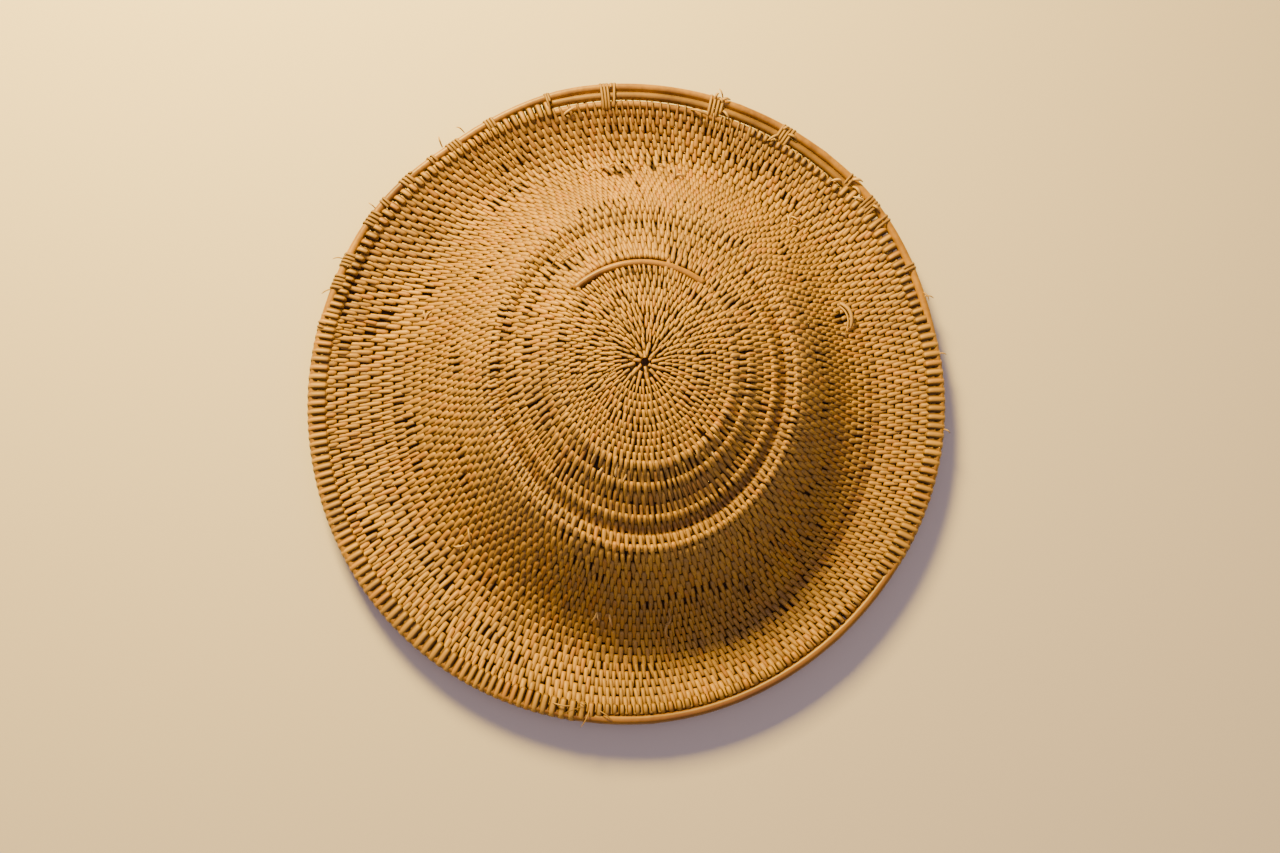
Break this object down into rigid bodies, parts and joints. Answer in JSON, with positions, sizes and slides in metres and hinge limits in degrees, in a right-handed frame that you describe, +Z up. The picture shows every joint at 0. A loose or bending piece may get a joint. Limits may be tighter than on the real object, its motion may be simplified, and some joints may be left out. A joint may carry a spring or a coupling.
{
  "type": "rattan shield",
  "caption": "Round coiled rattan shield with a stepped hollow boss, a sloping body and a forward-curled brim, edged with a cane hoop and with cane bars across its hollow back.",
  "frame": {"origin": "on the ground under the middle of the shield's outline, as it lies on its back", "axes": "+Z up through the boss, out of the shield's front; +Y towards its upper edge; +X to the right seen from the front"},
  "size_m": [0.7999, 0.8292, 0.1539],
  "materials": {
    "woven_rattan": "split rattan skin, aged golden tan, satin, with dark grime between the stitches",
    "bare_cane": "smooth rattan cane with its skin on, amber, semi-gloss",
    "bar_cane": "rattan cane, hand-worn and darker, satin"
  },
  "bodies": {
    "root": {"woven_body": "woven_rattan", "rim_hoop": "bare_cane", "inner_rim_cane": "bare_cane", "arm_bar": "bar_cane", "hand_bar": "bar_cane"}
  },
  "joints": []
}
